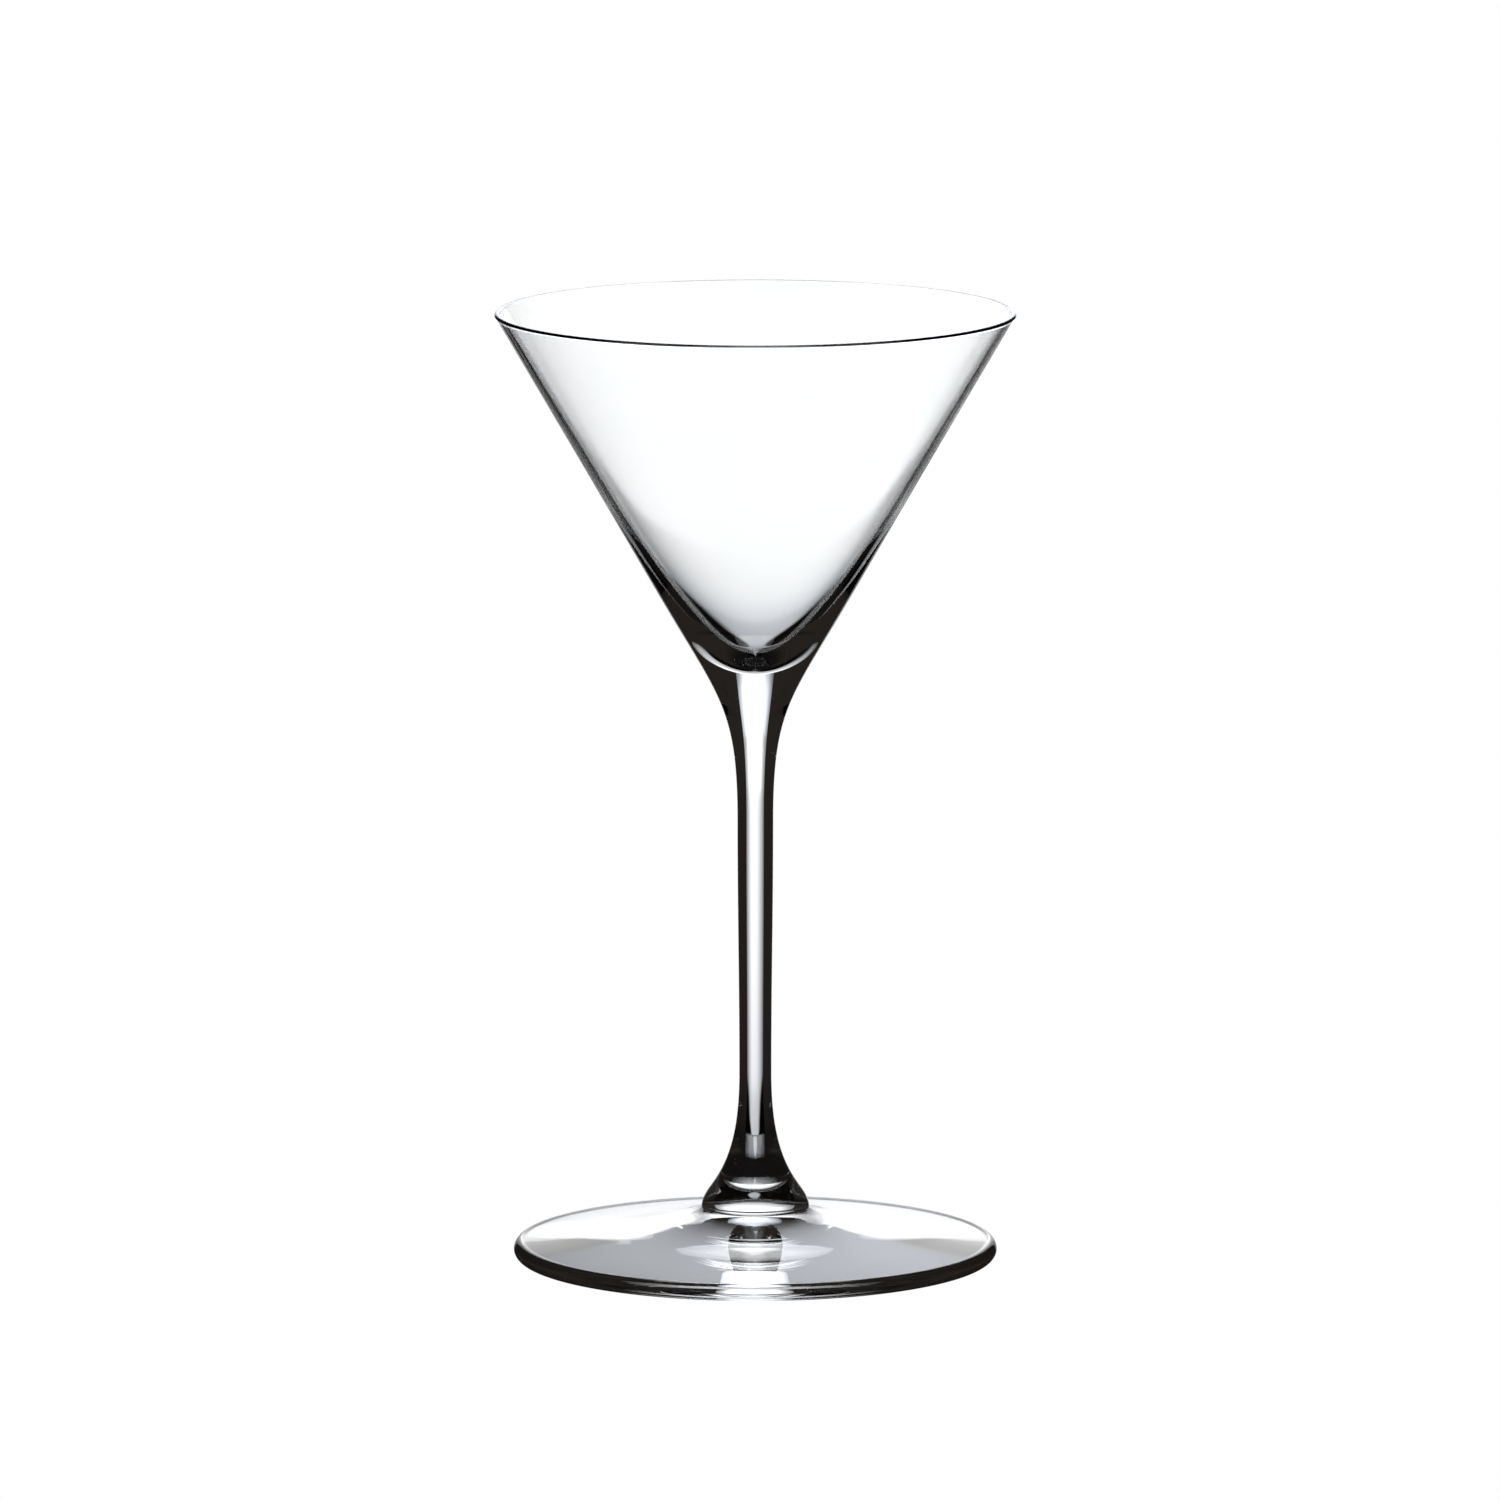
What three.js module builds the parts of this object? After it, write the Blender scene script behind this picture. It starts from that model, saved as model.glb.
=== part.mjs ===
// A stemmed martini glass, blown and drawn from clear crystal: a conical bowl, a drawn stem
// and a pressed foot, each its own solid of revolution about the +Z axis. The three were
// joined hot, so they meet face to face on two flat welds. Millimetres, +Z up, with the
// origin at the centre of the face that the foot rests on.
import * as THREE from 'three';

// Overall sizes
const HEIGHT = 160;
const RIM_RADIUS = 43.5;
const FOOT_RADIUS = 40.59;
const SEGMENTS = 64; // round the axis; a multiple of four, so both widths are the true diameter

// Bowl: a straight cone outside, with a wall that thickens downwards to a round well
const CONE_SLOPE = Math.tan(THREE.MathUtils.degToRad(30)); // radius gained for each mm of height
const RIM_WALL = 0.9;
const CONE_END_HEIGHT = 112.2; // where the cone starts to draw in to the stem
const CONE_END_RADIUS = 16.02;
const WELL_HEIGHT = 101.2; // lowest point inside
const WELL_HANDLE = 5.3; // how far the round well runs out before it turns up the wall
const WALL_TURN_HEIGHT = 128.5; // above this the inside is straight
const WALL_TURN_RADIUS = 23.78;
const WALL_TURN_HANDLE = 23;

// Stem: a long flare under the bowl, a waisted shank, and a short flare onto the foot
const SHANK_TOP_HEIGHT = 74.1;
const SHANK_TOP_RADIUS = 3;
const WAIST_HEIGHT = 31.4;
const WAIST_RADIUS = 2.69;
const UPPER_FLARE_HANDLES = [20.1, 19.3];
const SHANK_HANDLES = [16, 16];
const LOWER_FLARE_END_HEIGHT = 12;
const LOWER_FLARE_END_RADIUS = 7.56;
const LOWER_FLARE_SLOPE = -0.739;
const LOWER_FLARE_HANDLES = [11.1, 4.45];
const FOOT_WELD_HEIGHT = 8.5;
const FOOT_WELD_RADIUS = 9.05;
const LIP_HANDLE = [0.05, 1.3]; // the flare's round lip leaves the weld almost upright
const LIP_END_HANDLE = 1;
const BOWL_WELD_STEP = 4; // the weld under the bowl lies at this point of the upper flare

// Foot: a shallow cone with a fire-polished edge, hollowed a little underneath. It rests on
// the flat ring from REST_INNER_RADIUS out to the start of the edge's rounding
const EDGE_RADIUS = 1.48;
const TOP_END_RADIUS = 38.6;
const TOP_END_HEIGHT = 2.8;
const NECK_HANDLE = [5, -2.8];
const TOP_HANDLE = [-13, 1.9];
const REST_INNER_RADIUS = 36;
const HOLLOW_HEIGHT = 3;
const HOLLOW_HANDLES = [7.5, 15];

const UPPER_FLARE_STEPS = 10;
const SHANK_STEPS = 4;
const LOWER_FLARE_STEPS = 7;
const WELL_STEPS = 8;
const ROUND_STEPS = 4;
const FOOT_STEPS = 6;

const point = (radius, height) => new THREE.Vector2(radius, height);

// A smooth stretch of outline between two points, leaving and arriving along its handles
function stretch(start, startHandle, end, endHandle, steps) {
  const first = start.clone().add(startHandle);
  const second = end.clone().add(endHandle);
  return new THREE.CubicBezierCurve(start, first, second, end).getPoints(steps);
}

// A round stretch about a centre, between two angles in degrees from the outward direction
function arc(centre, radius, from, to, steps) {
  const points = [];
  for (let i = 0; i <= steps; i += 1) {
    const angle = THREE.MathUtils.degToRad(from + ((to - from) * i) / steps);
    const across = radius * Math.cos(angle);
    const up = radius * Math.sin(angle);
    points.push(point(centre.x + across, centre.y + up));
  }
  return points;
}

// Outline points in order, with any that repeats the one before it left out
function joined(...stretches) {
  const points = [];
  for (const next of stretches.flat()) {
    if (points.length === 0 || points[points.length - 1].distanceTo(next) > 1e-6) {
      points.push(next);
    }
  }
  return points;
}

function along(slope, length) {
  return point(slope, 1).setLength(length);
}

function upperFlare() {
  return stretch(
    point(CONE_END_RADIUS, CONE_END_HEIGHT),
    along(CONE_SLOPE, UPPER_FLARE_HANDLES[0]).negate(),
    point(SHANK_TOP_RADIUS, SHANK_TOP_HEIGHT),
    point(0, UPPER_FLARE_HANDLES[1]),
    UPPER_FLARE_STEPS,
  );
}

// From the axis at the weld, up the outside, over the fire-polished rim and down into the well
function bowlOutline() {
  const flare = upperFlare().slice(0, BOWL_WELD_STEP + 1).reverse();
  const weldCentre = point(0, flare[0].y);
  const lipRadius = RIM_WALL / 2;
  const lipCentre = point(RIM_RADIUS - lipRadius, HEIGHT - lipRadius);
  const lip = arc(lipCentre, lipRadius, 0, 180, ROUND_STEPS);
  const wall = stretch(
    point(WALL_TURN_RADIUS, WALL_TURN_HEIGHT),
    along(innerSlope(lip), WALL_TURN_HANDLE).negate(),
    point(0, WELL_HEIGHT),
    point(WELL_HANDLE, 0),
    WELL_STEPS,
  );
  return joined([weldCentre], flare, lip, wall);
}

// Slope of the straight inside wall, from its turn up to the inner edge of the rim
function innerSlope(lip) {
  const innerEdge = lip[lip.length - 1];
  return (innerEdge.x - WALL_TURN_RADIUS) / (innerEdge.y - WALL_TURN_HEIGHT);
}

// From the axis at the foot weld, up the lower flare, shank and upper flare to the bowl weld
function stemOutline() {
  const flareEnd = point(LOWER_FLARE_END_RADIUS, LOWER_FLARE_END_HEIGHT);
  const lip = stretch(
    point(FOOT_WELD_RADIUS, FOOT_WELD_HEIGHT),
    point(...LIP_HANDLE),
    flareEnd,
    along(LOWER_FLARE_SLOPE, LIP_END_HANDLE).negate(),
    ROUND_STEPS,
  );
  const lowerFlare = stretch(
    flareEnd,
    along(LOWER_FLARE_SLOPE, LOWER_FLARE_HANDLES[1]),
    point(WAIST_RADIUS, WAIST_HEIGHT),
    point(0, -LOWER_FLARE_HANDLES[0]),
    LOWER_FLARE_STEPS,
  );
  const shank = stretch(
    point(WAIST_RADIUS, WAIST_HEIGHT),
    point(0, SHANK_HANDLES[0]),
    point(SHANK_TOP_RADIUS, SHANK_TOP_HEIGHT),
    point(0, -SHANK_HANDLES[1]),
    SHANK_STEPS,
  );
  const flare = upperFlare().slice(BOWL_WELD_STEP).reverse();
  const weldCentre = point(0, flare[flare.length - 1].y);
  return joined([point(0, FOOT_WELD_HEIGHT)], lip, lowerFlare, shank, flare, [weldCentre]);
}

// From the axis in the hollow underneath, over the edge and up the top to the weld
function footOutline() {
  const edgeCentre = point(FOOT_RADIUS - EDGE_RADIUS, EDGE_RADIUS);
  const hollow = stretch(
    point(0, HOLLOW_HEIGHT),
    point(HOLLOW_HANDLES[0], 0),
    point(REST_INNER_RADIUS, 0),
    point(-HOLLOW_HANDLES[1], 0),
    FOOT_STEPS,
  );
  const edge = arc(edgeCentre, EDGE_RADIUS, -90, 90, 2 * ROUND_STEPS);
  const top = stretch(
    point(TOP_END_RADIUS, TOP_END_HEIGHT),
    point(...TOP_HANDLE),
    point(FOOT_WELD_RADIUS, FOOT_WELD_HEIGHT),
    point(...NECK_HANDLE),
    FOOT_STEPS,
  );
  return joined(hollow, edge, top, [point(0, FOOT_WELD_HEIGHT)]);
}

function glassMaterial() {
  return new THREE.MeshStandardMaterial({
    color: 0xf4f7f8,
    roughness: 0.03,
    metalness: 0,
    transparent: true,
    opacity: 0.35,
  });
}

// A lathe turns its outline about Y, so the solid is stood up to turn about Z
function turned(name, outline) {
  const geometry = new THREE.LatheGeometry(outline, SEGMENTS);
  geometry.rotateX(Math.PI / 2);
  const mesh = new THREE.Mesh(geometry, glassMaterial());
  mesh.name = name;
  return mesh;
}

const glass = new THREE.Group();
glass.add(
  turned('bowl', bowlOutline()),
  turned('stem', stemOutline()),
  turned('foot', footOutline()),
);

export default glass;
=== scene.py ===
"""A stemmed martini glass in clear crystal, as a Blender add-on that is run as a script.

The glass is three gathers that were joined hot: a blown conical bowl, a drawn stem and a
pressed foot. Each is turned from its outline by one Geometry Nodes tree. The stage lights
it as a bright field: a white card straight behind the glass and dark round it, which is
what draws clear glass in black lines. Metres, +Z up, in the frame of the CAD model.
"""

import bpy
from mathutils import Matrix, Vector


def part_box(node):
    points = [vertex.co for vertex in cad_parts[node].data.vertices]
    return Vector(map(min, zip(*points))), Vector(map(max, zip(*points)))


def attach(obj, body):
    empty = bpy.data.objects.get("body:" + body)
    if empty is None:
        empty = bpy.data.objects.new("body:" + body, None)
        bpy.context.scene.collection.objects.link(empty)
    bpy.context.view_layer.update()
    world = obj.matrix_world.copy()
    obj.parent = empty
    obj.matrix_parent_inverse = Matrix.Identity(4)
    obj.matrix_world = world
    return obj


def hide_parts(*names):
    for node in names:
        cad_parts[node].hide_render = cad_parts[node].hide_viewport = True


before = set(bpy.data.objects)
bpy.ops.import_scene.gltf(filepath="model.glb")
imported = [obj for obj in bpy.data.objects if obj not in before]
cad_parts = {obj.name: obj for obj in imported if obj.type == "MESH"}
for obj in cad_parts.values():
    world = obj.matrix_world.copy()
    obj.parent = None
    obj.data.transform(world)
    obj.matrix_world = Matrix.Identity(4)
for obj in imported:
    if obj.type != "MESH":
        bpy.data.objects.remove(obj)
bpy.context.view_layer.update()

import math

import bpy
from bpy.props import FloatProperty, FloatVectorProperty, IntProperty, PointerProperty
from mathutils import Vector

bl_info = {
    "name": "Martini Glass",
    "version": (1, 0, 0),
    "blender": (4, 5, 0),
    "location": "3D View > Sidebar > Martini Glass",
    "description": "Makes a stemmed martini glass in clear crystal and a bright-field stage",
    "category": "Add Mesh",
}

MM = 0.001
BOWL_LOW, BOWL_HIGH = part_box("bowl")
STEM_LOW, STEM_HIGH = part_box("stem")
FOOT_LOW, FOOT_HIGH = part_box("foot")

CONE_SLOPE = math.tan(math.radians(30.0))  # radius gained for each metre of height
SIGHT_HEIGHT = 86.2 * MM  # where the line of sight meets the glass's axis
LOWER_FLARE_SLOPE = -0.739  # radius gained for each metre of height where the flare ends
LIP_LEAN = 0.05 * MM  # how far the stem's round lip leans out as it leaves the weld
TOP_END_HANDLE = (-13 * MM, 1.9 * MM)  # how the foot's top leaves its edge
TOP_WELD_HANDLE = (5 * MM, -2.8 * MM)  # and how it reaches the weld

# Steps along the outlines
LIP_STEPS = 16
WALL_STEPS = 24
SHANK_STEPS = 32
EDGE_STEPS = 32
LOWER_FLARE_STEPS = 48
FOOT_STEPS = 64
WELL_STEPS = 80
UPPER_FLARE_STEPS = 96
SAME_PLACE = 1e-7  # points closer than this are one

# The white card behind the glass, in millimetres on the card from the line of sight. The
# tables give (place, value) pairs, and a brightness of 1 is white on screen. They were
# fitted, by tracing light through the glass, to the greys that it should show, so they
# belong to this glass and are no general studio light.
CARD_GAP = 400
CARD_OUTLINE = ((-142, -700), (153, -700), (153, 900), (-142, 900))
# Brightness across it. The high table is for the band that shows in the middle of the bowl
CARD_ACROSS_LOW = (
    (-142, 0.16), (-130, 0.20), (-115, 0.31), (-100, 0.44), (-78, 0.57), (-56, 0.74),
    (-38, 0.86), (-15, 0.96), (10, 1.00), (40, 1.03), (60, 1.00), (78, 0.86), (100, 0.66),
    (115, 0.50), (130, 0.35), (153, 0.25),
)
CARD_ACROSS_HIGH = (
    (-142, 0.25), (-125, 0.32), (-110, 0.45), (-98, 0.62), (-86, 0.84), (-75, 1.06),
    (-65, 1.15), (-55, 1.10), (-45, 1.06), (-30, 1.02), (0, 1.00), (34, 1.05), (45, 1.14),
    (58, 1.30), (68, 1.42), (80, 1.38), (95, 1.08), (110, 0.74), (125, 0.50), (153, 0.30),
)
# How far the brightness across follows the high table, going up
CARD_BLEND = ((-700, 0), (-12, 0), (8, 0.4), (28, 1), (92, 1), (116, 0), (900, 0))
# Brightness going up: lit from above, so it fades towards its foot
CARD_UP = (
    (-700, 0.20), (-500, 0.30), (-260, 0.58), (-150, 0.65), (-105, 0.72), (-76, 0.90),
    (-57, 1.00), (-35, 1.11), (-14, 1.18), (5, 1.23), (30, 1.25), (66, 1.26), (72, 1.22),
    (80, 1.12), (92, 1.11), (102, 1.25), (126, 2.20), (205, 2.50), (300, 2.40),
    (400, 1.60), (520, 1.00), (900, 0.90),
)
# Low down the light narrows to a tongue: its half width, and how far right its middle lies
CARD_TONGUE = (
    (-700, 8), (-500, 9), (-280, 22), (-200, 40), (-165, 55), (-130, 75), (-100, 95),
    (-60, 190), (0, 400), (900, 400),
)
CARD_CENTRE = ((-700, 4), (-200, 4), (-150, 8), (-110, 14), (-50, 14), (900, 14))
TONGUE_SOFTNESS = (0.7, 1.2)  # the light fades between these shares of the half width
# How cool its white is: plain in the middle, cooler at its foot and high up
CARD_COOL = ((-700, 0.6), (-120, 0.6), (20, 0), (95, 0), (126, 1), (900, 1))


# ---------------------------------------------------------------- sizes and colours


def linear(hex_colour):
    """A linear RGBA colour from an sRGB hex value such as "F4F7F8"."""
    channels = [int(hex_colour[i : i + 2], 16) / 255 for i in (0, 2, 4)]
    curved = [c / 12.92 if c <= 0.04045 else ((c + 0.055) / 1.055) ** 2.4 for c in channels]
    return (*curved, 1.0)


def size_property(name, description, default_mm):
    """A length that is kept in metres, from a default in millimetres."""
    return FloatProperty(
        name=name,
        description=description,
        default=default_mm * MM,
        unit="LENGTH",
        precision=5,
    )


class MartiniBowlSettings(bpy.types.PropertyGroup):
    """Sizes of the bowl."""

    rim_radius: FloatProperty(
        name="Rim radius",
        description="Outside radius of the rim",
        default=BOWL_HIGH[0],
        unit="LENGTH",
    )
    height: FloatProperty(
        name="Height",
        description="Height of the rim over the table",
        default=BOWL_HIGH[2],
        unit="LENGTH",
    )
    rim_wall: size_property("Rim wall", "Thickness of the wall at the rim", 0.9)
    cone_end_height: size_property("Cone end", "Height where the cone draws in to the stem", 112.2)
    cone_end_radius: size_property("Cone end radius", "Outside radius at the cone's end", 16.02)
    well_height: size_property("Well height", "Lowest point inside the bowl", 101.2)
    well_handle: size_property("Well width", "How far the round well runs out along its floor", 5.3)
    turn_height: size_property("Wall turn", "Above this height the inside is straight", 128.5)
    turn_radius: size_property("Wall turn radius", "Inside radius at the wall's turn", 23.78)
    turn_handle: size_property("Wall turn length", "How far the wall keeps straight under it", 23.0)


class MartiniStemSettings(bpy.types.PropertyGroup):
    """Sizes of the stem."""

    shank_top_height: size_property("Shank top", "Height where the long flare begins", 74.1)
    shank_top_radius: size_property("Shank top radius", "Radius there", 3.0)
    waist_height: size_property("Waist height", "Height of the thinnest place", 31.4)
    waist_radius: size_property("Waist radius", "Radius of the thinnest place", 2.69)
    shank_handle: size_property("Shank ends", "How far each end runs straight", 16.0)
    upper_flare_start: size_property("Flare into the bowl", "How far it follows the cone", 20.1)
    upper_flare_end: size_property("Flare into the shank", "How far it runs upright", 19.3)
    lower_flare_height: size_property("Lower flare end", "Height where the flare ends", 12.0)
    lower_flare_radius: size_property("Lower flare radius", "Radius there", 7.56)
    lower_flare_start: size_property("Flare onto the foot", "How far it keeps its slope", 4.45)
    lower_flare_end: size_property("Flare from the waist", "How far it runs upright", 11.1)
    lip_rise: size_property("Lip rise", "How far the round lip rises from the weld", 1.3)
    lip_turn: size_property("Lip turn", "How far the lip reaches along the flare", 1.0)


class MartiniFootSettings(bpy.types.PropertyGroup):
    """Sizes of the foot."""

    radius: FloatProperty(
        name="Foot radius",
        description="Radius of the foot",
        default=FOOT_HIGH[0],
        unit="LENGTH",
    )
    edge_radius: size_property("Edge rounding", "Radius of the fire-polished edge", 1.48)
    weld_radius: size_property("Weld radius", "Radius of the weld to the stem", 9.05)
    top_radius: size_property("Top radius", "Radius where the sloping top ends", 38.6)
    top_height: size_property("Top height", "Height where the sloping top ends", 2.8)
    rest_radius: size_property("Rest radius", "Inner radius of the ring it rests on", 36.0)
    hollow_height: size_property("Hollow", "Height of the hollow under the foot", 3.0)
    hollow_crown: size_property("Hollow crown", "How far the hollow's middle is level", 7.5)
    hollow_skirt: size_property("Hollow skirt", "How far its edge lies level", 15.0)
    chill_radius: size_property("Chill mark", "Radius of the mark left by the cool tool", 12.6)


class MartiniCrystalSettings(bpy.types.PropertyGroup):
    """The glass itself."""

    ior: FloatProperty(
        name="Index of refraction",
        description="Lead-free crystal is 1.52 to 1.56",
        default=1.52,
    )
    tint: FloatVectorProperty(
        name="Tint",
        description="Colour of the glass where it is coolest",
        subtype="COLOR",
        size=4,
        default=linear("FAFCFD"),
    )
    segments: IntProperty(
        name="Segments",
        description="Steps of the lathe round the axis",
        default=256,
    )


class MartiniStageSettings(bpy.types.PropertyGroup):
    """The camera and the bright field round the glass."""

    camera_distance: FloatProperty(
        name="Camera distance",
        description="From the glass's axis, level",
        default=2.4907,
        unit="LENGTH",
    )
    camera_height: FloatProperty(
        name="Camera height", description="Over the table", default=0.481, unit="LENGTH"
    )
    camera_pitch: FloatProperty(
        name="Camera pitch",
        description="How far the camera looks down",
        default=math.radians(9.008),
        subtype="ANGLE",
    )
    camera_side: size_property("Camera side", "How far it stands off the glass's axis", -0.9)
    lens: FloatProperty(
        name="Lens", description="Focal length", default=361.9, unit="CAMERA", min=1.0, max=2000.0
    )
    floor_size: FloatProperty(
        name="Floor", description="Side of the square floor", default=6.0, unit="LENGTH"
    )


class MartiniGlassSettings(bpy.types.PropertyGroup):
    """Everything that can be changed about the glass."""

    bowl: PointerProperty(type=MartiniBowlSettings)
    stem: PointerProperty(type=MartiniStemSettings)
    foot: PointerProperty(type=MartiniFootSettings)
    crystal: PointerProperty(type=MartiniCrystalSettings)
    stage: PointerProperty(type=MartiniStageSettings)


# ---------------------------------------------------------------- node helper


def add_node(tree, kind, links=None, **settings):
    """Adds a node with its settings, and feeds its inputs from sockets or values."""
    node = tree.nodes.new(kind)
    for name, value in settings.items():
        setattr(node, name, value)
    for key, value in (links or {}).items():
        socket = node.inputs[key]
        if isinstance(value, bpy.types.NodeSocket):
            tree.links.new(value, socket)
        else:
            socket.default_value = value
    return node


# ---------------------------------------------------------------- materials


def bare_material(name):
    """A material without nodes, and its node tree."""
    material = bpy.data.materials.new(name)
    material.use_nodes = True
    material.node_tree.nodes.clear()
    return material, material.node_tree


def crystal_material(name, relief):
    """Clear crystal with the faint relief that its making left, as nodes that bump it.

    relief is a function that adds its nodes to the tree and returns the relief's height
    in metres.
    """
    settings = bpy.context.scene.martini_glass.crystal
    material, tree = bare_material(name)
    place = add_node(tree, "ShaderNodeTexCoord").outputs["Object"]
    bump = add_node(
        tree,
        "ShaderNodeBump",
        {"Strength": 1.0, "Distance": 1.0, "Height": relief(tree, place)},
    )

    # Crystal is all but free of colour: cords in the melt, about 14 mm wide, differ by a
    # breath of cool grey, and a few of them by a trace of haze
    cords = add_node(
        tree,
        "ShaderNodeTexNoise",
        {"Vector": place, "Scale": 1 / (14 * MM), "Detail": 2.0, "Roughness": 0.5},
    ).outputs["Fac"]
    shade = add_node(
        tree, "ShaderNodeMixRGB", {0: cords, 1: tuple(settings.tint), 2: linear("FFFFFF")}
    )
    polish = add_node(
        tree,
        "ShaderNodeMapRange",
        {"Value": cords, "From Min": 0.7, "From Max": 0.9, "To Min": 0.0, "To Max": 0.004},
    )
    glass = add_node(
        tree,
        "ShaderNodeBsdfPrincipled",
        {
            "Base Color": shade.outputs["Color"],
            "Roughness": polish.outputs["Result"],
            "IOR": settings.ior,
            "Transmission Weight": 1.0,
            "Normal": bump.outputs["Normal"],
        },
    )
    add_node(tree, "ShaderNodeOutputMaterial", {"Surface": glass.outputs["BSDF"]})
    return material


def uneven(tree, place, layers):
    """Height in metres of layers of soft lumps that lie over each other.

    A layer is the width of its lumps in millimetres, the shares by which coordinates across
    and up are shrunk to draw them out, their detail, and their height in millimetres.
    """
    height = 0.0
    for width, (across, up), detail, rise in layers:
        drawn = add_node(
            tree, "ShaderNodeMapping", {"Vector": place, "Scale": (across, across, up)}
        )
        lumps = add_node(
            tree,
            "ShaderNodeTexNoise",
            {
                "Vector": drawn.outputs["Vector"],
                "Scale": 1 / (width * MM),
                "Detail": detail,
                "Roughness": 0.5,
            },
        )
        height = add_node(
            tree,
            "ShaderNodeMath",
            {0: lumps.outputs["Fac"], 1: rise * MM, 2: height},
            operation="MULTIPLY_ADD",
        ).outputs[0]
    return height


def radius_from_axis(tree, place):
    """Distance from the glass's axis."""
    level = add_node(
        tree, "ShaderNodeVectorMath", {0: place, 1: (1, 1, 0)}, operation="MULTIPLY"
    )
    return add_node(
        tree, "ShaderNodeVectorMath", {0: level.outputs["Vector"]}, operation="LENGTH"
    ).outputs["Value"]


def blown_relief(tree, place):
    """Blown into a wetted mould and turned in it, so faint rings run round the wall, over a
    slow unevenness of its thickness. The eye sees edges in the glass waver a little."""
    rings = (1.6, (0.05, 1.0), 1.0, 0.0006)
    swell = (18, (1.0, 1.0), 1.0, 0.02)
    return uneven(tree, place, (rings, swell))


def drawn_relief(tree, place):
    """Pulled down from the bowl while soft, so fine draw lines run along it. The eye sees
    the stem's bright core with edges that aren't quite ruled."""
    lines = (0.9, (1.0, 0.03), 1.0, 0.0008)
    swell = (9, (1.0, 1.0), 1.0, 0.008)
    return uneven(tree, place, (lines, swell))


def pressed_relief(tree, place):
    """Spun and pressed flat with a paddle, so faint rings run round the top, and a cool tool
    left a wrinkled chill mark under its middle. The eye sees the mark as a round patch with
    a broken edge, and as a jagged line mirrored up in the stem's flare."""
    foot = bpy.context.scene.martini_glass.foot
    radius = radius_from_axis(tree, place)
    rings = add_node(
        tree,
        "ShaderNodeTexNoise",
        {"W": radius, "Scale": 1 / (1.4 * MM), "Detail": 1.0},
        noise_dimensions="1D",
    ).outputs["Fac"]
    swell = uneven(tree, place, [(16, (1.0, 1.0), 1.0, 0.012)])
    polished = add_node(
        tree,
        "ShaderNodeMath",
        {0: rings, 1: 0.0005 * MM, 2: swell},
        operation="MULTIPLY_ADD",
    ).outputs[0]
    inside = add_node(
        tree,
        "ShaderNodeMapRange",
        {
            "Value": radius,
            "From Min": foot.chill_radius,
            "From Max": foot.chill_radius - 0.8 * MM,
        },
        interpolation_type="SMOOTHSTEP",
    ).outputs["Result"]
    height = add_node(tree, "ShaderNodeSeparateXYZ", {"Vector": place}).outputs["Z"]
    underneath = add_node(
        tree,
        "ShaderNodeMath",
        {0: height, 1: foot.hollow_height + 0.2 * MM},
        operation="LESS_THAN",
    ).outputs[0]
    mark = add_node(
        tree, "ShaderNodeMath", {0: inside, 1: underneath}, operation="MULTIPLY"
    ).outputs[0]
    wrinkles = uneven(tree, place, [(3.2, (1.0, 1.0), 3.0, 0.03)])
    return add_node(
        tree, "ShaderNodeMath", {0: wrinkles, 1: mark, 2: polished}, operation="MULTIPLY_ADD"
    ).outputs[0]


def weld_material():
    """Where two gathers fused there is no surface left, so nothing bends or mirrors light."""
    material, tree = bare_material("fused_weld")
    clear = add_node(tree, "ShaderNodeBsdfTransparent", {"Color": linear("FFFFFF")})
    add_node(tree, "ShaderNodeOutputMaterial", {"Surface": clear.outputs["BSDF"]})
    return material


# ---------------------------------------------------------------- outlines


def stretch(start, start_handle, end, end_handle, steps):
    """A smooth stretch of outline between two points, leaving and arriving along its handles.

    It has an extra point close to each end, so that a piece cut off there keeps the true
    direction of its surface up to the cut.
    """
    start, end = Vector(start), Vector(end)
    first, second = start + Vector(start_handle), end + Vector(end_handle)
    near = 0.02 / steps
    shares = [0, near, *[i / steps for i in range(1, steps)], 1 - near, 1]
    return [
        (1 - t) ** 3 * start
        + 3 * (1 - t) ** 2 * t * first
        + 3 * (1 - t) * t**2 * second
        + t**3 * end
        for t in shares
    ]


def arc(centre, radius, start, end, steps):
    """A round stretch about a centre, between two angles in degrees."""
    angles = [math.radians(start + (end - start) * i / steps) for i in range(steps + 1)]
    return [Vector(centre) + radius * Vector((math.cos(a), math.sin(a))) for a in angles]


def joined(*stretches):
    """The outline's points in order, without any that repeats the one before it."""
    points = []
    for part in stretches:
        for point in part:
            point = Vector(point)
            if not points or (points[-1] - point).length > SAME_PLACE:
                points.append(point)
    return points


def cut(points, height):
    """The parts of a rising outline under and over a height, which both end exactly at it.

    Each has an extra point close to the cut, as a stretch does.
    """
    under = [p for p in points if p.y < height]
    over = points[len(under) :]
    before, after = under[-1], over[0]
    edge, below, above = (
        before.lerp(after, (level - before.y) / (after.y - before.y))
        for level in (height, height - 0.01 * MM, height + 0.01 * MM)
    )
    return [*under, below, edge], [edge, above, *over]


def upper_flare(settings):
    """From the shank's top up to the cone's end; the bowl and the stem share it."""
    bowl, stem = settings.bowl, settings.stem
    cone = Vector((CONE_SLOPE, 1)).normalized()
    return stretch(
        (stem.shank_top_radius, stem.shank_top_height),
        (0, stem.upper_flare_end),
        (bowl.cone_end_radius, bowl.cone_end_height),
        -cone * stem.upper_flare_start,
        UPPER_FLARE_STEPS,
    )


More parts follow.
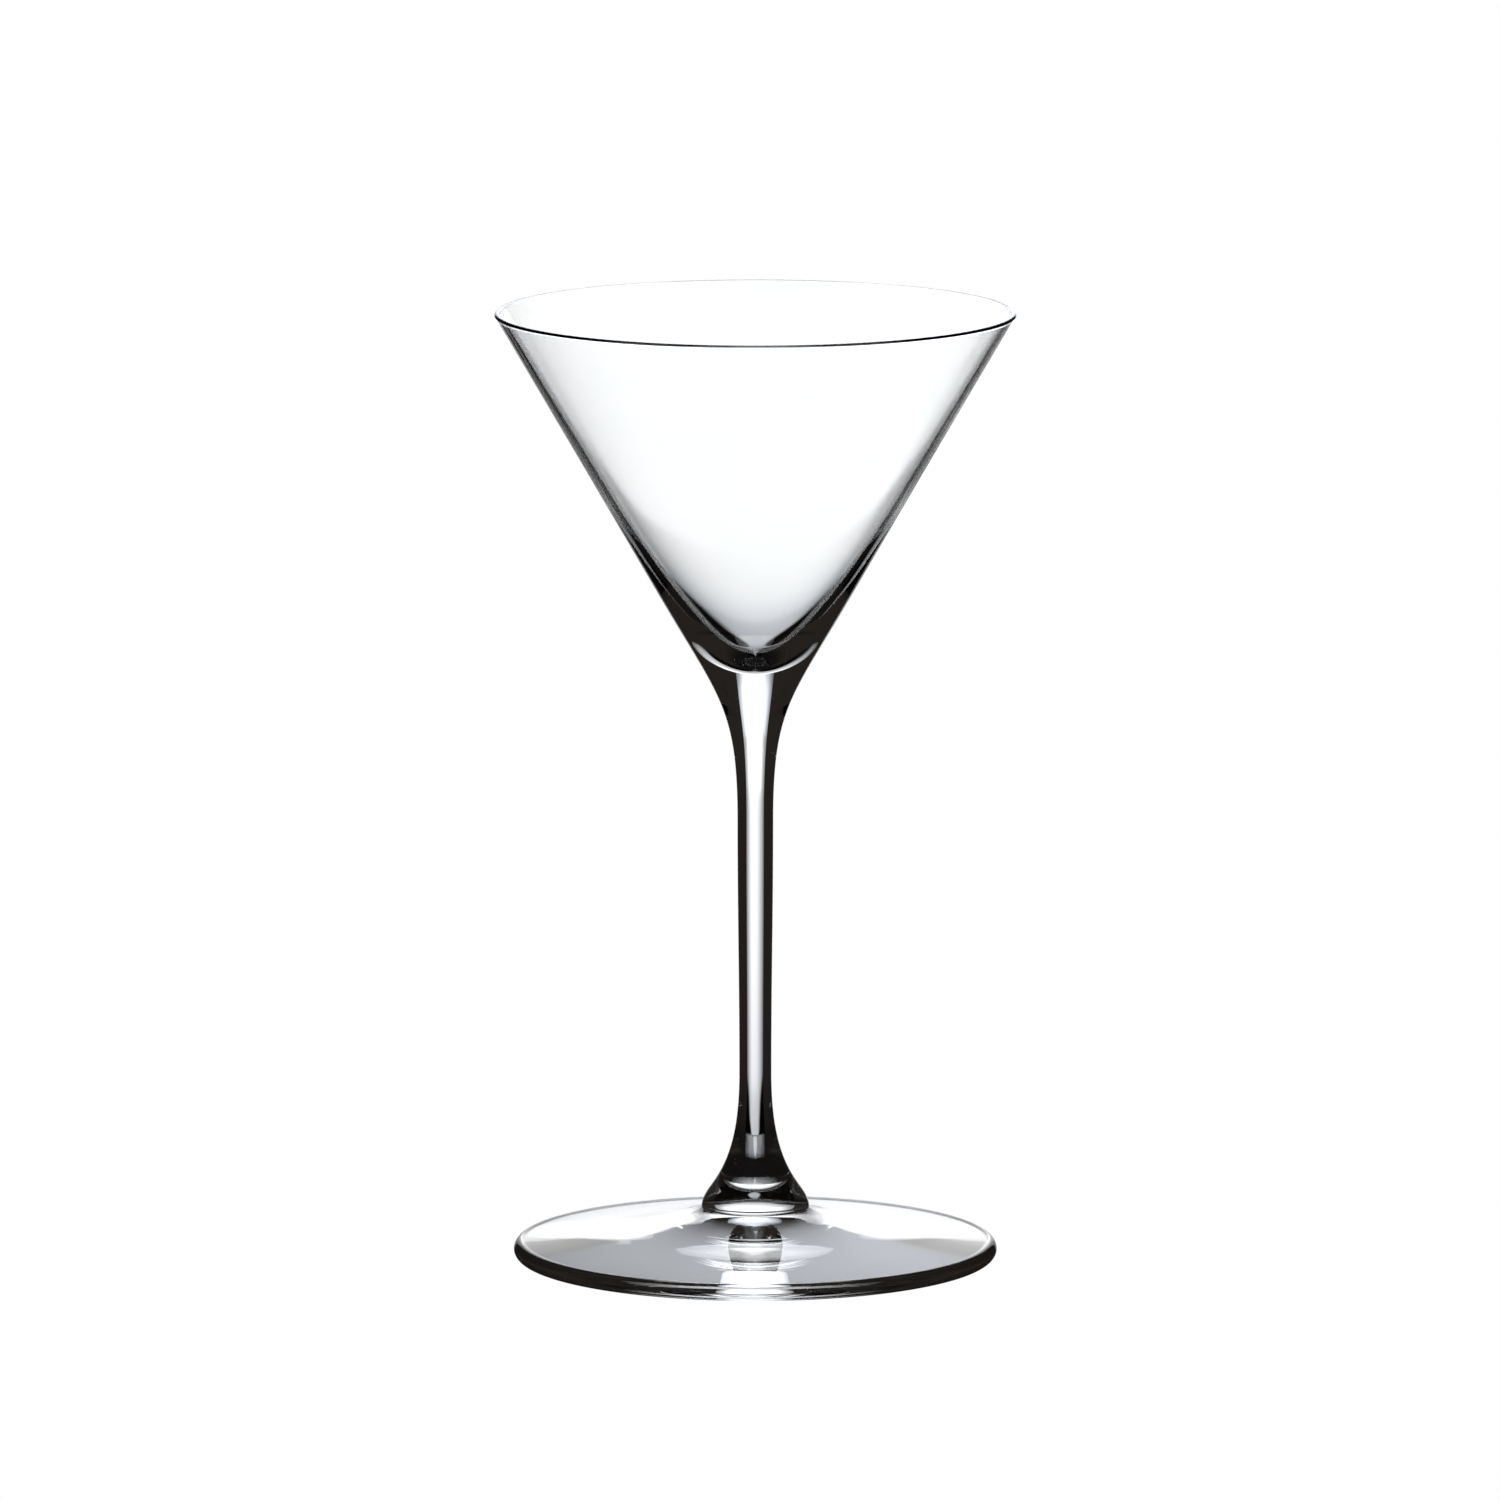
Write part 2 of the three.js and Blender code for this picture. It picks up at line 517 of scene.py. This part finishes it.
def bowl_outline(settings):
    """From the weld's middle up the outside, over the rim and down into the well."""
    bowl = settings.bowl
    weld_height = BOWL_LOW[2]
    flare = cut(upper_flare(settings), weld_height)[1]
    lip_radius = bowl.rim_wall / 2
    lip_centre = (bowl.rim_radius - lip_radius, bowl.height - lip_radius)
    lip = arc(lip_centre, lip_radius, 0, 180, LIP_STEPS)
    turn = Vector((bowl.turn_radius, bowl.turn_height))
    inner_slope = (lip[-1] - turn).normalized()
    well = stretch(
        turn,
        -inner_slope * bowl.turn_handle,
        (0, bowl.well_height),
        (bowl.well_handle, 0),
        WELL_STEPS,
    )
    outside = stretch(flare[-1], (0, 0), lip[0], (0, 0), WALL_STEPS)
    inside = stretch(lip[-1], (0, 0), turn, (0, 0), WALL_STEPS)
    return joined([(0, weld_height)], flare, outside, lip, inside, well)


def stem_outline(settings):
    """From the middle of the foot's weld up the outside to the middle of the bowl's weld."""
    stem, foot = settings.stem, settings.foot
    foot_weld, bowl_weld = STEM_LOW[2], STEM_HIGH[2]
    flare_end = (stem.lower_flare_radius, stem.lower_flare_height)
    flare_line = Vector((LOWER_FLARE_SLOPE, 1)).normalized()
    waist = (stem.waist_radius, stem.waist_height)
    shank_top = (stem.shank_top_radius, stem.shank_top_height)
    lip = stretch(
        (foot.weld_radius, foot_weld),
        (LIP_LEAN, stem.lip_rise),
        flare_end,
        -flare_line * stem.lip_turn,
        LIP_STEPS,
    )
    lower_flare = stretch(
        flare_end,
        flare_line * stem.lower_flare_start,
        waist,
        (0, -stem.lower_flare_end),
        LOWER_FLARE_STEPS,
    )
    shank = stretch(
        waist, (0, stem.shank_handle), shank_top, (0, -stem.shank_handle), SHANK_STEPS
    )
    flare = cut(upper_flare(settings), bowl_weld)[0]
    return joined([(0, foot_weld)], lip, lower_flare, shank, flare, [(0, bowl_weld)])


def foot_outline(settings):
    """From the middle of the hollow underneath, over the edge and up the top to the weld."""
    foot = settings.foot
    weld_height = FOOT_HIGH[2]
    hollow = stretch(
        (0, foot.hollow_height),
        (foot.hollow_crown, 0),
        (foot.rest_radius, 0),
        (-foot.hollow_skirt, 0),
        FOOT_STEPS,
    )
    edge_centre = (foot.radius - foot.edge_radius, foot.edge_radius)
    edge = arc(edge_centre, foot.edge_radius, -90, 90, EDGE_STEPS)
    top = stretch(
        (foot.top_radius, foot.top_height),
        TOP_END_HANDLE,
        (foot.weld_radius, weld_height),
        TOP_WELD_HANDLE,
        FOOT_STEPS,
    )
    return joined(hollow, edge, top, [(0, weld_height)])


# ---------------------------------------------------------------- lathe


def lathe_tree():
    """Turns an outline, drawn in the XZ plane, round the Z axis into a closed solid."""
    tree = bpy.data.node_groups.get("turned_glass")
    if tree is not None:
        return tree
    tree = bpy.data.node_groups.new("turned_glass", "GeometryNodeTree")
    for name, way, kind in (
        ("Outline", "INPUT", "NodeSocketGeometry"),
        ("Segments", "INPUT", "NodeSocketInt"),
        ("Lower weld", "INPUT", "NodeSocketFloat"),
        ("Upper weld", "INPUT", "NodeSocketFloat"),
        ("Crystal", "INPUT", "NodeSocketMaterial"),
        ("Weld", "INPUT", "NodeSocketMaterial"),
        ("Solid", "OUTPUT", "NodeSocketGeometry"),
    ):
        tree.interface.new_socket(name, in_out=way, socket_type=kind)
    given = add_node(tree, "NodeGroupInput").outputs

    # A grid has a vertex for each outline point at each step round the axis. Divided by the
    # number of points, a vertex's index gives its step, and the remainder gives its point
    count = add_node(tree, "GeometryNodeAttributeDomainSize", {"Geometry": given["Outline"]})
    columns = add_node(
        tree, "ShaderNodeMath", {0: given["Segments"], 1: 1.0}, operation="ADD"
    )
    grid = add_node(
        tree,
        "GeometryNodeMeshGrid",
        {
            "Size X": 1.0,
            "Size Y": 1.0,
            "Vertices X": columns.outputs[0],
            "Vertices Y": count.outputs["Point Count"],
        },
    )
    index = add_node(tree, "GeometryNodeInputIndex")
    along = add_node(
        tree,
        "ShaderNodeMath",
        {0: index.outputs[0], 1: count.outputs["Point Count"]},
        operation="MODULO",
    )
    steps = add_node(
        tree,
        "ShaderNodeMath",
        {0: index.outputs[0], 1: count.outputs["Point Count"]},
        operation="DIVIDE",
    )
    whole = add_node(tree, "ShaderNodeMath", {0: steps.outputs[0]}, operation="FLOOR")
    share = add_node(
        tree, "ShaderNodeMath", {0: whole.outputs[0], 1: given["Segments"]}, operation="DIVIDE"
    )
    angle = add_node(
        tree, "ShaderNodeMath", {0: share.outputs[0], 1: math.tau}, operation="MULTIPLY"
    )
    position = add_node(tree, "GeometryNodeInputPosition")
    outline = add_node(
        tree,
        "GeometryNodeSampleIndex",
        {"Geometry": given["Outline"], "Index": along.outputs[0]},
        data_type="FLOAT_VECTOR",
        domain="POINT",
    )
    tree.links.new(position.outputs[0], outline.inputs["Value"])
    turned = add_node(
        tree,
        "ShaderNodeVectorRotate",
        {"Vector": outline.outputs["Value"], "Angle": angle.outputs[0]},
        rotation_type="Z_AXIS",
    )
    placed = add_node(
        tree,
        "GeometryNodeSetPosition",
        {"Geometry": grid.outputs["Mesh"], "Position": turned.outputs[0]},
    )

    # The poles and the seam of the turn close when their vertices merge, and the flat welds
    # are told by their height
    closed = add_node(
        tree,
        "GeometryNodeMergeByDistance",
        {"Geometry": placed.outputs[0], "Distance": SAME_PLACE},
    )
    height = add_node(tree, "ShaderNodeSeparateXYZ", {"Vector": position.outputs[0]})
    caps = [
        add_node(
            tree,
            "FunctionNodeCompare",
            {0: height.outputs["Z"], 1: given[weld], "Epsilon": 1e-6},
            data_type="FLOAT",
            operation="EQUAL",
        )
        for weld in ("Lower weld", "Upper weld")
    ]
    cap = add_node(
        tree,
        "FunctionNodeBooleanMath",
        {0: caps[0].outputs[0], 1: caps[1].outputs[0]},
        operation="OR",
    )
    round_face = add_node(
        tree, "FunctionNodeBooleanMath", {0: cap.outputs[0]}, operation="NOT"
    )
    smooth = add_node(
        tree,
        "GeometryNodeSetShadeSmooth",
        {"Geometry": closed.outputs[0], "Shade Smooth": round_face.outputs[0]},
    )
    real = add_node(tree, "GeometryNodeRealizeInstances", {"Geometry": smooth.outputs[0]})
    crystal = add_node(
        tree,
        "GeometryNodeSetMaterial",
        {"Geometry": real.outputs[0], "Material": given["Crystal"]},
    )
    weld = add_node(
        tree,
        "GeometryNodeSetMaterial",
        {
            "Geometry": crystal.outputs[0],
            "Selection": cap.outputs[0],
            "Material": given["Weld"],
        },
    )
    add_node(tree, "NodeGroupOutput", {"Solid": weld.outputs[0]})
    return tree


def turned_piece(name, outline, welds, crystal):
    """A plain mesh object that the lathe tree makes from an outline.

    welds are the heights of its lowest and highest flat weld, and crystal its material.
    """
    values = {
        "Segments": bpy.context.scene.martini_glass.crystal.segments,
        "Lower weld": welds[0],
        "Upper weld": welds[1],
        "Crystal": crystal,
        "Weld": weld_material(),
    }
    mesh = bpy.data.meshes.new(name + "_outline")
    mesh.from_pydata([(p.x, 0, p.y) for p in outline], [], [])
    source = bpy.data.objects.new(name + "_outline", mesh)
    bpy.context.scene.collection.objects.link(source)
    tree = lathe_tree()
    modifier = source.modifiers.new("turned_glass", "NODES")
    modifier.node_group = tree
    sockets = {s.name: s.identifier for s in tree.interface.items_tree if s.in_out == "INPUT"}
    for socket, value in values.items():
        modifier[sockets[socket]] = value
    shape = source.evaluated_get(bpy.context.evaluated_depsgraph_get())
    solid = bpy.data.meshes.new_from_object(shape)
    solid.name = name
    bpy.data.objects.remove(source)
    bpy.data.meshes.remove(mesh)
    piece = bpy.data.objects.new(name, solid)
    bpy.context.scene.collection.objects.link(piece)
    return piece


# ---------------------------------------------------------------- stage


def curve_of(tree, value, table, unit=1.0):
    """What a table of (millimetres, value) pairs gives for a length in metres, in a unit."""
    places, values = [p * MM for p, _ in table], [v for _, v in table]
    first, last, peak = places[0], places[-1], max(values)
    share = add_node(
        tree, "ShaderNodeMapRange", {"Value": value, "From Min": first, "From Max": last}
    )
    curve = add_node(tree, "ShaderNodeFloatCurve", {"Value": share.outputs["Result"]})
    points = curve.mapping.curves[0].points
    points[0].location = (0.0, values[0] / peak)
    points[1].location = (1.0, values[-1] / peak)
    for place, height in zip(places[1:-1], values[1:-1]):
        points.new((place - first) / (last - first), height / peak)
    for point in points:
        point.handle_type = "AUTO_CLAMPED"
    curve.mapping.update()
    return add_node(
        tree,
        "ShaderNodeMath",
        {0: curve.outputs["Value"], 1: peak * unit},
        operation="MULTIPLY",
    ).outputs[0]


def card_material():
    """White card lit from above and behind. It is seen only through the glass, as the
    bright middle of each piece, and its fall-off gives the greys beside that."""
    material, tree = bare_material("lit_white_card")
    place = add_node(tree, "ShaderNodeTexCoord").outputs["Object"]
    split = add_node(tree, "ShaderNodeSeparateXYZ", {"Vector": place}).outputs
    across = add_node(
        tree,
        "ShaderNodeMix",
        {
            "Factor": curve_of(tree, split["Y"], CARD_BLEND),
            "A": curve_of(tree, split["X"], CARD_ACROSS_LOW),
            "B": curve_of(tree, split["X"], CARD_ACROSS_HIGH),
        },
    ).outputs["Result"]
    centre = curve_of(tree, split["Y"], CARD_CENTRE, MM)
    offset = add_node(
        tree, "ShaderNodeMath", {0: split["X"], 1: centre}, operation="SUBTRACT"
    )
    away = add_node(tree, "ShaderNodeMath", {0: offset.outputs[0]}, operation="ABSOLUTE")
    width = curve_of(tree, split["Y"], CARD_TONGUE, MM)
    share = add_node(
        tree, "ShaderNodeMath", {0: away.outputs[0], 1: width}, operation="DIVIDE"
    )
    tongue = add_node(
        tree,
        "ShaderNodeMapRange",
        {
            "Value": share.outputs[0],
            "From Min": TONGUE_SOFTNESS[1],
            "From Max": TONGUE_SOFTNESS[0],
        },
        interpolation_type="SMOOTHSTEP",
    )
    strength = tongue.outputs["Result"]
    for part in (across, curve_of(tree, split["Y"], CARD_UP)):
        strength = add_node(
            tree, "ShaderNodeMath", {0: strength, 1: part}, operation="MULTIPLY"
        ).outputs[0]
    colour = add_node(
        tree,
        "ShaderNodeMixRGB",
        {
            0: curve_of(tree, split["Y"], CARD_COOL),
            1: linear("FFFFFF"),
            2: linear("F3F7FF"),
        },
    )
    glow = add_node(
        tree, "ShaderNodeEmission", {"Color": colour.outputs["Color"], "Strength": strength}
    )
    add_node(tree, "ShaderNodeOutputMaterial", {"Surface": glow.outputs[0]})
    return material


def floor_material():
    """Seamless white sweep, lit to plain white: nothing is seen of it but its colour."""
    material, tree = bare_material("white_sweep")
    glow = add_node(tree, "ShaderNodeEmission", {"Color": linear("FFFFFF"), "Strength": 1.0})
    add_node(tree, "ShaderNodeOutputMaterial", {"Surface": glow.outputs[0]})
    return material


def stage_camera(settings):
    """A long lens on a 36 mm sensor, a little above the glass and looking down on it."""
    lens = bpy.data.cameras.new("camera")
    lens.lens = settings.lens
    lens.sensor_width = 36.0
    lens.clip_end = 50.0
    camera = bpy.data.objects.new("camera", lens)
    camera.location = (settings.camera_side, -settings.camera_distance, settings.camera_height)
    camera.rotation_euler = (math.pi / 2 - settings.camera_pitch, 0, 0)
    bpy.context.scene.collection.objects.link(camera)
    return camera


def stage_world():
    """White to the camera, and a dark room to the rays that the glass bends away from the
    card, darker still towards the ground."""
    world = bpy.data.worlds.new("studio")
    world.use_nodes = True
    tree = world.node_tree
    tree.nodes.clear()
    direction = add_node(tree, "ShaderNodeTexCoord").outputs["Generated"]
    rise = add_node(tree, "ShaderNodeSeparateXYZ", {"Vector": direction}).outputs["Z"]
    share = add_node(
        tree, "ShaderNodeMapRange", {"Value": rise, "From Min": -0.6, "From Max": 0.0}
    )
    room = add_node(
        tree,
        "ShaderNodeMixRGB",
        {0: share.outputs["Result"], 1: linear("0E0D0D"), 2: linear("26221F")},
    )
    dark = add_node(
        tree, "ShaderNodeBackground", {"Color": room.outputs["Color"], "Strength": 1.0}
    )
    white = add_node(
        tree, "ShaderNodeBackground", {"Color": linear("FFFFFF"), "Strength": 1.0}
    )
    seen = add_node(tree, "ShaderNodeLightPath").outputs["Is Camera Ray"]
    mix = add_node(
        tree, "ShaderNodeMixShader", {0: seen, 1: dark.outputs[0], 2: white.outputs[0]}
    )
    add_node(tree, "ShaderNodeOutputWorld", {"Surface": mix.outputs[0]})
    return world


def card(name, corners, material):
    """A flat piece of the stage, drawn through its corners."""
    mesh = bpy.data.meshes.new(name)
    mesh.from_pydata(corners, [], [list(range(len(corners)))])
    mesh.materials.append(material)
    sheet = bpy.data.objects.new(name, mesh)
    bpy.context.scene.collection.objects.link(sheet)
    return sheet


# ---------------------------------------------------------------- operators


class MARTINI_OT_bowl(bpy.types.Operator):
    """Make the blown conical bowl"""

    bl_idname = "martini.bowl"
    bl_label = "Bowl"

    def execute(self, context):
        piece = turned_piece(
            "crystal_bowl",
            bowl_outline(context.scene.martini_glass),
            (BOWL_LOW[2], BOWL_LOW[2]),
            crystal_material("blown_crystal", blown_relief),
        )
        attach(piece, "root")
        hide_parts("bowl")
        return {"FINISHED"}


class MARTINI_OT_stem(bpy.types.Operator):
    """Make the drawn stem with its two flares"""

    bl_idname = "martini.stem"
    bl_label = "Stem"

    def execute(self, context):
        piece = turned_piece(
            "crystal_stem",
            stem_outline(context.scene.martini_glass),
            (STEM_LOW[2], STEM_HIGH[2]),
            crystal_material("drawn_crystal", drawn_relief),
        )
        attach(piece, "root")
        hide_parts("stem")
        return {"FINISHED"}


class MARTINI_OT_foot(bpy.types.Operator):
    """Make the pressed foot"""

    bl_idname = "martini.foot"
    bl_label = "Foot"

    def execute(self, context):
        piece = turned_piece(
            "crystal_foot",
            foot_outline(context.scene.martini_glass),
            (FOOT_HIGH[2], FOOT_HIGH[2]),
            crystal_material("pressed_crystal", pressed_relief),
        )
        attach(piece, "root")
        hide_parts("foot")
        return {"FINISHED"}


class MARTINI_OT_stage(bpy.types.Operator):
    """Make the camera, the pale floor, the dark room and the lit card behind the glass"""

    bl_idname = "martini.stage"
    bl_label = "Stage"

    def execute(self, context):
        settings = context.scene.martini_glass.stage
        scene = context.scene
        scene.camera = stage_camera(settings)
        scene.world = stage_world()

        # The card hangs square to the line of sight and goes where the camera goes. Only
        # rays through the glass see it, and only the camera sees the floor
        away = math.hypot(settings.camera_distance, settings.camera_height - SIGHT_HEIGHT)
        depth = -(away + CARD_GAP * MM)
        backdrop = card(
            "white_card", [(x * MM, y * MM, depth) for x, y in CARD_OUTLINE], card_material()
        )
        backdrop.parent = scene.camera
        backdrop.visible_camera = False
        side = settings.floor_size / 2
        floor = card(
            "floor",
            [(-side, -side, 0), (side, -side, 0), (side, side, 0), (-side, side, 0)],
            floor_material(),
        )
        floor.visible_transmission = False
        floor.visible_glossy = False
        floor.visible_diffuse = False
        floor.visible_shadow = False

        scene.view_settings.view_transform = "Standard"
        # Light is mirrored many times inside the thick glass: with 14 bounces it shows
        # hard-edged dark patches
        scene.cycles.max_bounces = 32
        scene.cycles.transmission_bounces = 32
        scene.cycles.glossy_bounces = 16
        scene.cycles.transparent_max_bounces = 64
        return {"FINISHED"}


class MARTINI_PT_glass(bpy.types.Panel):
    """Sizes of the glass and a button for each piece"""

    bl_idname = "MARTINI_PT_glass"
    bl_label = "Martini Glass"
    bl_space_type = "VIEW_3D"
    bl_region_type = "UI"
    bl_category = "Martini Glass"

    def draw(self, context):
        settings = context.scene.martini_glass
        for operator in OPERATORS:
            self.layout.operator(operator.bl_idname)
        for group in ("bowl", "stem", "foot", "crystal", "stage"):
            sizes = self.layout.column(align=True)
            part = getattr(settings, group)
            for name in type(part).__annotations__:
                sizes.prop(part, name)


OPERATORS = (MARTINI_OT_stage, MARTINI_OT_bowl, MARTINI_OT_stem, MARTINI_OT_foot)
CLASSES = (
    MartiniBowlSettings,
    MartiniStemSettings,
    MartiniFootSettings,
    MartiniCrystalSettings,
    MartiniStageSettings,
    MartiniGlassSettings,
    *OPERATORS,
    MARTINI_PT_glass,
)


def register():
    for cls in CLASSES:
        bpy.utils.register_class(cls)
    bpy.types.Scene.martini_glass = PointerProperty(type=MartiniGlassSettings)


def unregister():
    del bpy.types.Scene.martini_glass
    for cls in reversed(CLASSES):
        bpy.utils.unregister_class(cls)


def main():
    register()
    bpy.ops.martini.stage()
    bpy.ops.martini.bowl()
    bpy.ops.martini.stem()
    bpy.ops.martini.foot()


if __name__ == "__main__":
    main()
